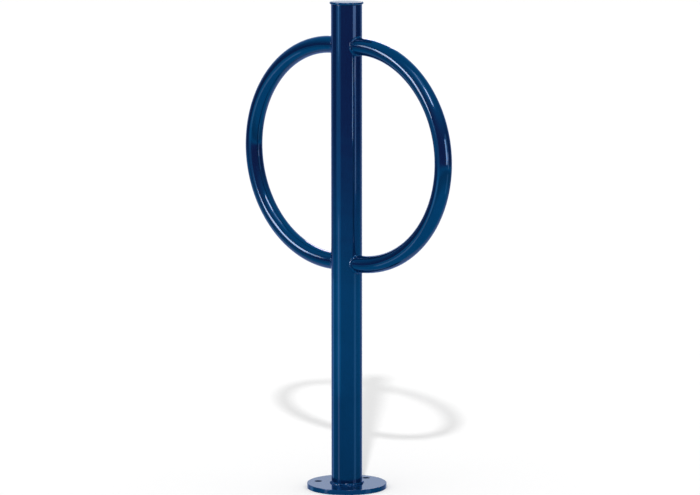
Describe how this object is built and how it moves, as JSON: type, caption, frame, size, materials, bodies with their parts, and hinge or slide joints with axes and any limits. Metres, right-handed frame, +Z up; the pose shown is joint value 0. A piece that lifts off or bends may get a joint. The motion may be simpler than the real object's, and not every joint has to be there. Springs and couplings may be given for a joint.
{
  "type": "hitching post bike rack",
  "caption": "Bolt-down bike rack: a capped round steel post on a foot flange, with a half hoop of bent pipe welded to each side for locking a bicycle.",
  "frame": {"origin": "centre of the foot flange's underside, on the floor under the post's axis", "axes": "+Z up the post; +X along the row of the two half hoops, from the post's axis out to the right half hoop; +Y square to the hoops, with one bolt hole on the +Y side"},
  "size_m": [0.5226, 0.156, 0.952],
  "materials": {
    "blue_powder_coat": "glossy deep blue powder coat over welded steel pipe and plate"
  },
  "bodies": {
    "root": {"post": "blue_powder_coat", "end_cap": "blue_powder_coat", "foot_flange": "blue_powder_coat", "foot_weld": "blue_powder_coat", "right_half_hoop": "blue_powder_coat", "left_half_hoop": "blue_powder_coat", "upper_right_hoop_weld": "blue_powder_coat", "lower_right_hoop_weld": "blue_powder_coat", "upper_left_hoop_weld": "blue_powder_coat", "lower_left_hoop_weld": "blue_powder_coat"}
  },
  "joints": []
}
